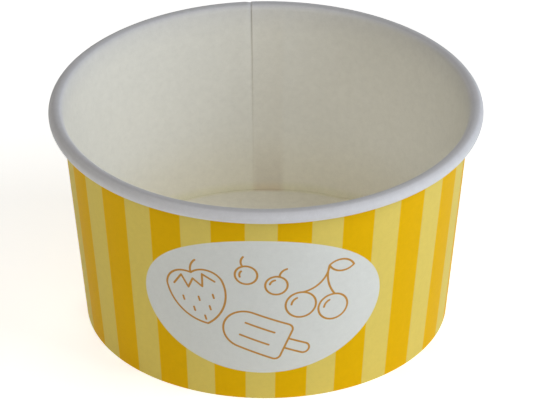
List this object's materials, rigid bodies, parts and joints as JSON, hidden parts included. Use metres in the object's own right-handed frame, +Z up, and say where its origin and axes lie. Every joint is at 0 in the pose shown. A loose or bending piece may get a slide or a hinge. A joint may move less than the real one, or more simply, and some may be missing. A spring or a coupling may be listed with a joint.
{
  "type": "paper ice cream cup",
  "caption": "Round paper ice cream cup with tapered, striped side wall, rolled rim, lapped side seam and recessed base disc held in a folded hem.",
  "frame": {"origin": "centre of the cup's axis on the plane that it stands on", "axes": "+Z up along the cup's axis, -Y towards the front of the print, the side seam at +Y"},
  "size_m": [0.092, 0.092, 0.0495],
  "materials": {
    "printed_board": "smooth coated paperboard, printed outside in gold and pale yellow stripes, white inside",
    "coated_board": "plain white paperboard, coated on the food side"
  },
  "bodies": {
    "root": {"side_wall": "printed_board", "base_disc": "coated_board"}
  },
  "joints": []
}
